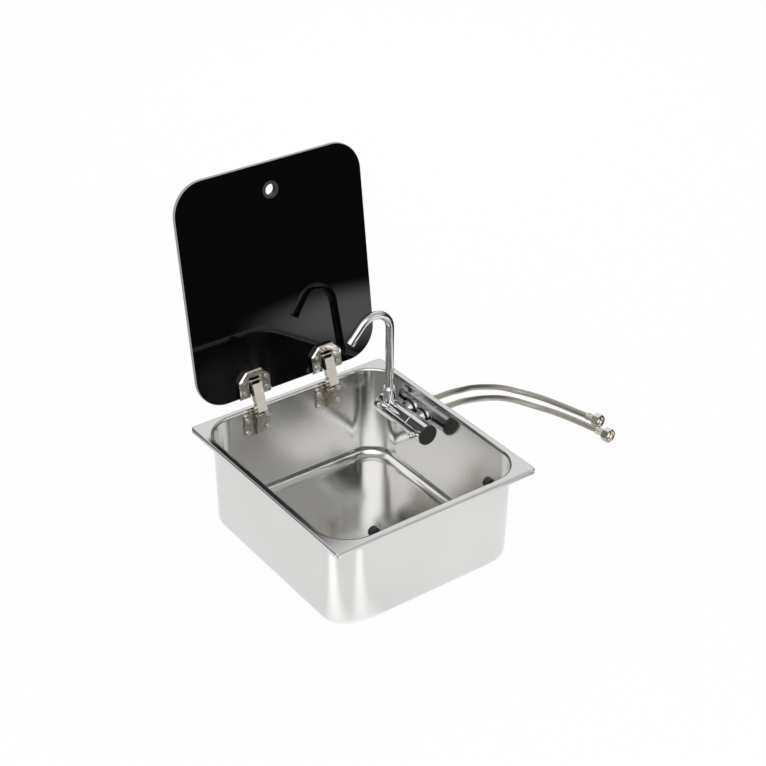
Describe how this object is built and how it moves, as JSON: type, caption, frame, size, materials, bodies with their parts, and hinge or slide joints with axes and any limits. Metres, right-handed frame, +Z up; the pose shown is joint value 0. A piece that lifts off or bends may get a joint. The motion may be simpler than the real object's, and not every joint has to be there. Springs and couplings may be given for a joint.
{
  "type": "drop-in sink with folding mixer tap and hinged glass lid",
  "caption": "Pressed steel sink bowl with a narrow flange, a black glass lid on two-link hinges, a side mixer tap with a folding bent spout, and braided supply hoses.",
  "frame": {"origin": "centre of the bowl's underside, on the surface it stands on", "axes": "+Z up, +Y towards the hinges at the back, +X towards the wall that carries the tap"},
  "size_m": [0.6286, 0.3929, 0.4859],
  "materials": {
    "stainless_steel": "satin",
    "black_glass": "polished",
    "bright_nickel": "bright",
    "black_rubber": "matte",
    "black_plastic": "satin",
    "zinc_plate": "bright",
    "chrome_plate": "bright",
    "white_plastic": "matte",
    "brass": "satin",
    "steel_braid": "woven",
    "hose_fittings": "bright"
  },
  "bodies": {
    "bowl": {"bowl": "stainless_steel", "lid_bumper_left": "black_rubber", "lid_bumper_right": "black_rubber", "bumper_washer_left": "zinc_plate", "bumper_washer_right": "zinc_plate", "hinge_base_left": "bright_nickel", "hinge_base_right": "bright_nickel", "hinge_base_screws_left": "bright_nickel", "hinge_base_screws_right": "bright_nickel", "hinge_base_nuts_left": "bright_nickel", "hinge_base_nuts_right": "bright_nickel", "base_pin_left": "bright_nickel", "base_pin_right": "bright_nickel", "tap_body": "chrome_plate", "tap_rear_cap": "chrome_plate", "spout_seals": "black_rubber", "inlet_gaskets": "black_rubber", "inlet_lock_nuts": "brass", "valve_cartridge": "white_plastic", "hose_hot": "steel_braid", "hose_collar_hot": "hose_fittings", "hose_sleeve_hot": "hose_fittings", "hose_nut_hot": "hose_fittings", "hose_cold": "steel_braid", "hose_collar_cold": "hose_fittings", "hose_sleeve_cold": "hose_fittings", "hose_nut_cold": "hose_fittings"},
    "inner_links": {"inner_link_left": "bright_nickel", "inner_link_right": "bright_nickel"},
    "outer_links": {"outer_link_left": "bright_nickel", "outer_link_right": "bright_nickel", "knee_pin_left": "bright_nickel", "knee_pin_right": "bright_nickel"},
    "lid": {"glass_lid": "black_glass", "finger_grommet": "black_plastic", "hinge_cup_left": "bright_nickel", "hinge_cup_right": "bright_nickel", "cup_gasket_left": "black_rubber", "cup_gasket_right": "black_rubber", "clamp_plate_left": "bright_nickel", "clamp_plate_right": "bright_nickel", "cup_screws_left": "bright_nickel", "cup_screws_right": "bright_nickel", "cup_pin_left": "bright_nickel", "cup_pin_right": "bright_nickel"},
    "spout_carrier": {"spout_carrier": "chrome_plate", "fold_lock_screw": "chrome_plate", "spout_union": "chrome_plate"},
    "spout": {"spout_tube": "chrome_plate", "aerator": "chrome_plate"},
    "knob": {"tap_knob": "chrome_plate", "tap_lever": "chrome_plate", "knob_cap": "black_plastic", "valve_spindle": "brass"}
  },
  "joints": [
    {"name": "lid_fold", "type": "hinge", "parent": "bowl", "child": "inner_links", "pos_m": [0, 0.15706, 0.139], "axis": [1, 0, 0], "range_deg": [0, 137.4]},
    {"name": "link_fold", "type": "hinge", "parent": "inner_links", "child": "outer_links", "pos_m": [0, 0.15858, 0.16556], "axis": [1, 0, 0], "range_deg": [-121.04, 0]},
    {"name": "lid_turn", "type": "hinge", "parent": "outer_links", "child": "lid", "pos_m": [0, 0.168, 0.19043], "axis": [1, 0, 0], "range_deg": [0, 81.54]},
    {"name": "spout_fold", "type": "hinge", "parent": "bowl", "child": "spout_carrier", "pos_m": [0.127, 0.1076, 0.11], "axis": [0, 1, 0], "range_deg": [-100.01, 0]},
    {"name": "spout_swivel", "type": "hinge", "parent": "spout_carrier", "child": "spout", "pos_m": [0.127, 0.1076, 0.135], "axis": [0, 0, 1], "range_deg": [-30, 90]},
    {"name": "knob_turn", "type": "hinge", "parent": "bowl", "child": "knob", "pos_m": [0.127, 0.017, 0.11], "axis": [0, 1, 0], "range_deg": [-60, 60]}
  ],
  "couplings": [
    {"joint": "link_fold", "follows": "lid_fold", "ratio": -0.88086},
    {"joint": "lid_turn", "follows": "lid_fold", "ratio": 0.59339},
    {"joint": "spout_fold", "follows": "lid_fold", "ratio": -0.72781}
  ]
}
